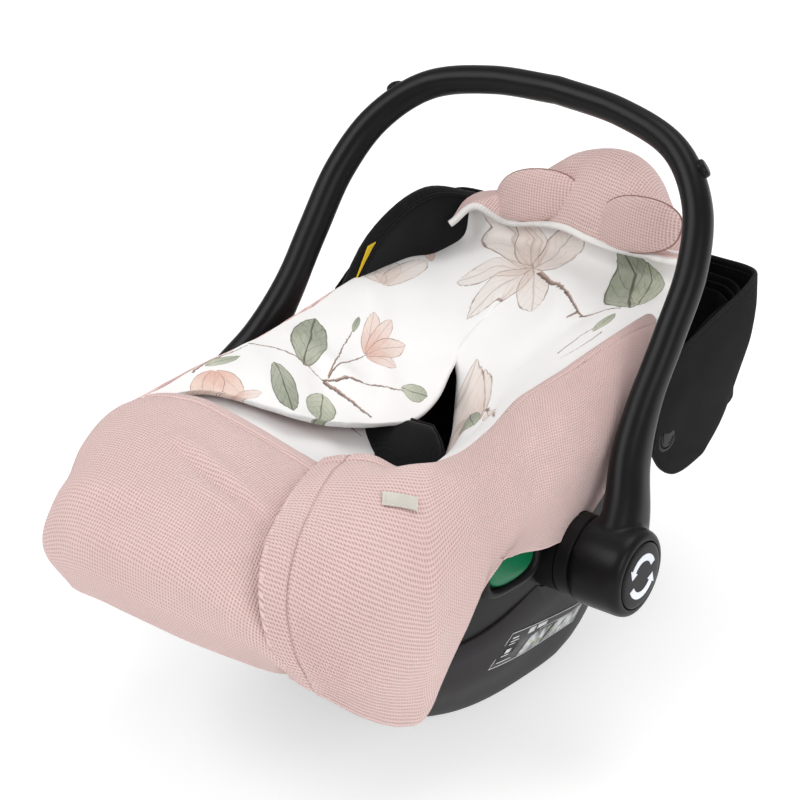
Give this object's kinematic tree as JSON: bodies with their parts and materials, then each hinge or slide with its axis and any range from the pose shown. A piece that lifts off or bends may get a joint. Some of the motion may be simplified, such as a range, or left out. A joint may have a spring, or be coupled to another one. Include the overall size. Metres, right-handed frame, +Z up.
{
  "type": "infant car seat",
  "caption": "Infant car seat with a bucket shell on a rocker base, swinging carry handle, folded canopy, harness, belt guides and a hooded foot-pocket wrap blanket.",
  "frame": {"origin": "centre of the flat face the base rests on", "axes": "+Z up, -Y towards the foot end, +Y towards the head end, +X towards the occupant's left"},
  "size_m": [0.4464, 0.628, 0.4372],
  "materials": {
    "shell_plastic": "fine textured black moulding",
    "base_plastic": "satin charcoal moulding",
    "handle_plastic": "satin black moulding",
    "foam": "expanded foam beads",
    "cover_fabric": "black knitted cover, padded",
    "canopy_cloth": "black woven polyester",
    "webbing": "black harness webbing",
    "guide_green": "gloss green",
    "steel": "plated",
    "button_red": "gloss red",
    "waffle_knit": "dusty pink waffle knit",
    "lining_cotton": "white cotton satin with a faint floral print",
    "label_cloth": "cream woven tape",
    "tab_yellow": "plain yellow tab",
    "label_film": "plain printed film"
  },
  "bodies": {
    "seat": {"adjuster_housing": "shell_plastic", "adjuster_strap": "webbing", "base_label": "label_film", "base_screw_front_left": "steel", "base_screw_front_right": "steel", "base_screw_rear_left": "steel", "base_screw_rear_right": "steel", "belt_guide_left": "guide_green", "belt_guide_pod_left": "base_plastic", "belt_guide_pod_right": "base_plastic", "belt_guide_right": "guide_green", "buckle_body": "handle_plastic", "buckle_tongue_left": "steel", "buckle_tongue_right": "steel", "canopy_socket_left": "shell_plastic", "canopy_socket_right": "shell_plastic", "crotch_pad": "cover_fabric", "crotch_strap": "webbing", "foam_liner": "foam", "headrest_pad": "cover_fabric", "lower_base": "base_plastic", "outer_shell": "shell_plastic", "pivot_bolt_left": "steel", "pivot_bolt_right": "steel", "ratchet_plate_left": "shell_plastic", "ratchet_plate_right": "shell_plastic", "rear_belt_guide": "guide_green", "seat_cover": "cover_fabric", "seat_insert": "cover_fabric", "shoulder_pad_left": "cover_fabric", "shoulder_pad_right": "cover_fabric", "shoulder_strap_left": "webbing", "shoulder_strap_right": "webbing", "side_tab": "tab_yellow", "wrap_back_panel": "lining_cotton", "wrap_ear_left": "waffle_knit", "wrap_ear_right": "waffle_knit", "wrap_far_flap": "lining_cotton", "wrap_foot_pocket": "waffle_knit", "wrap_hood": "waffle_knit", "wrap_label": "label_cloth", "wrap_near_flap": "waffle_knit"},
    "handle": {"handle_arch": "handle_plastic", "handle_arm_left": "handle_plastic", "handle_arm_right": "handle_plastic", "canopy_peg_left": "handle_plastic", "canopy_peg_right": "handle_plastic", "button_spring_left": "steel", "button_spring_right": "steel"},
    "release_left": {"release_button_left": "handle_plastic", "lock_gear_left": "steel"},
    "release_right": {"release_button_right": "handle_plastic", "lock_gear_right": "steel"},
    "canopy": {"canopy_fabric": "canopy_cloth", "canopy_knob_left": "handle_plastic", "canopy_knob_right": "handle_plastic"},
    "buckle_press": {"buckle_button": "button_red"},
    "adjuster_press": {"adjuster_button": "handle_plastic"}
  },
  "joints": [
    {"name": "handle_swing", "type": "hinge", "parent": "seat", "child": "handle", "pos_m": [0, 0, 0.155], "axis": [1, 0, 0], "range_deg": [0, 105]},
    {"name": "release_left_press", "type": "slide", "parent": "handle", "child": "release_left", "axis": [-1, 0, 0], "range_m": [0, 0.004], "stiffness_N_per_m": 900, "springref_m": -0.002, "deforming": ["button_spring_left"]},
    {"name": "release_right_press", "type": "slide", "parent": "handle", "child": "release_right", "axis": [1, 0, 0], "range_m": [0, 0.004], "stiffness_N_per_m": 900, "springref_m": -0.002, "deforming": ["button_spring_right"]},
    {"name": "canopy_swing", "type": "hinge", "parent": "seat", "child": "canopy", "pos_m": [0, 0.143, 0.192], "axis": [1, 0, 0], "range_deg": [0, 30], "deforming": ["wrap_hood", "wrap_ear_left", "wrap_ear_right"]},
    {"name": "buckle_button_press", "type": "slide", "parent": "seat", "child": "buckle_press", "axis": [0, 1, 0], "range_m": [0, 0.003], "stiffness_N_per_m": 600, "springref_m": -0.002},
    {"name": "adjuster_button_press", "type": "slide", "parent": "seat", "child": "adjuster_press", "axis": [0, 0, -1], "range_m": [0, 0.003], "stiffness_N_per_m": 600, "springref_m": -0.002}
  ]
}
